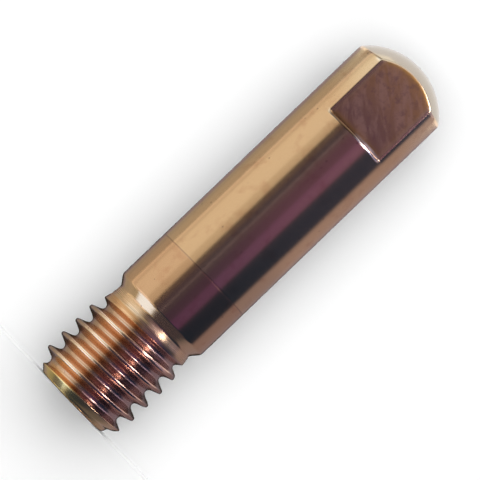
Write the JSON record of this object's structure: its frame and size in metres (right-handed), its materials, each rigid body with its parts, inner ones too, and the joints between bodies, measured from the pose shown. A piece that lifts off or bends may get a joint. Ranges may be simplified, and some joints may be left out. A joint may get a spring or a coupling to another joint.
{
  "type": "welding contact tip",
  "caption": "Turned copper contact tip for a wire-feed welding torch, with a rolled screw thread, a plain body, milled spanner flats, a domed nose and a wire bore along its axis.",
  "frame": {"origin": "centre of the threaded end face, on which the tip stands", "axes": "+Z along the axis towards the nose, -Y out of one spanner flat and +Y out of the other"},
  "size_m": [0.0058, 0.0058, 0.025],
  "materials": {
    "copper": "bare turned copper, lightly tarnished, with milled flats"
  },
  "bodies": {
    "root": {"contact_tip": "copper"}
  },
  "joints": []
}
